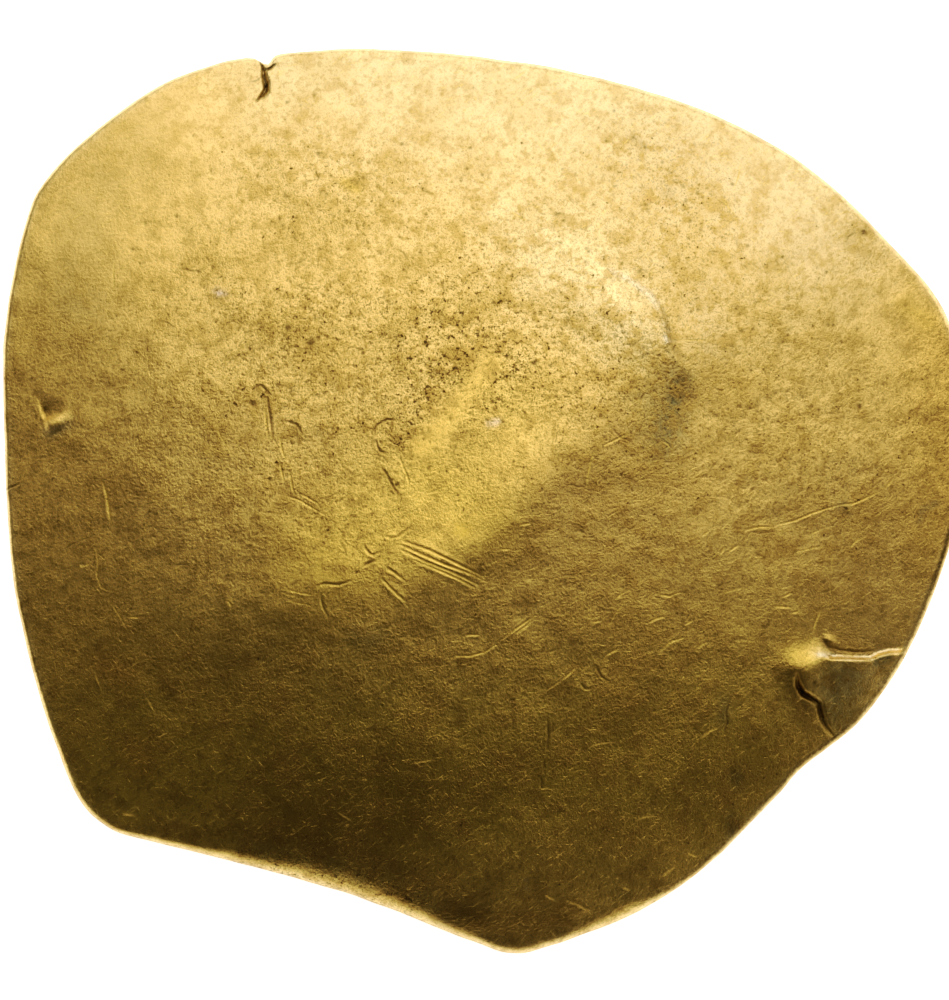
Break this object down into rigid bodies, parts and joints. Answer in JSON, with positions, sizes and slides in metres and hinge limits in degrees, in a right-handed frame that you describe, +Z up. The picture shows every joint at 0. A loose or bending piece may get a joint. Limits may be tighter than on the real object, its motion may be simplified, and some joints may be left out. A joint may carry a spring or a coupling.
{
  "type": "stater",
  "caption": "Struck gold coin with a plain domed face and an irregular, cracked and folded flan, lying on its dished side.",
  "frame": {"origin": "bottom centre of the coin's bounding box, as it lies on its dished side", "axes": "+Z up through the plain domed face, +X towards the blunt point of the flan that is farthest from its split edge, +Y towards the split edge"},
  "size_m": [0.0192, 0.0182, 0.0032],
  "materials": {
    "gold_alloy": null
  },
  "bodies": {
    "root": {"stater": "gold_alloy"}
  },
  "joints": []
}
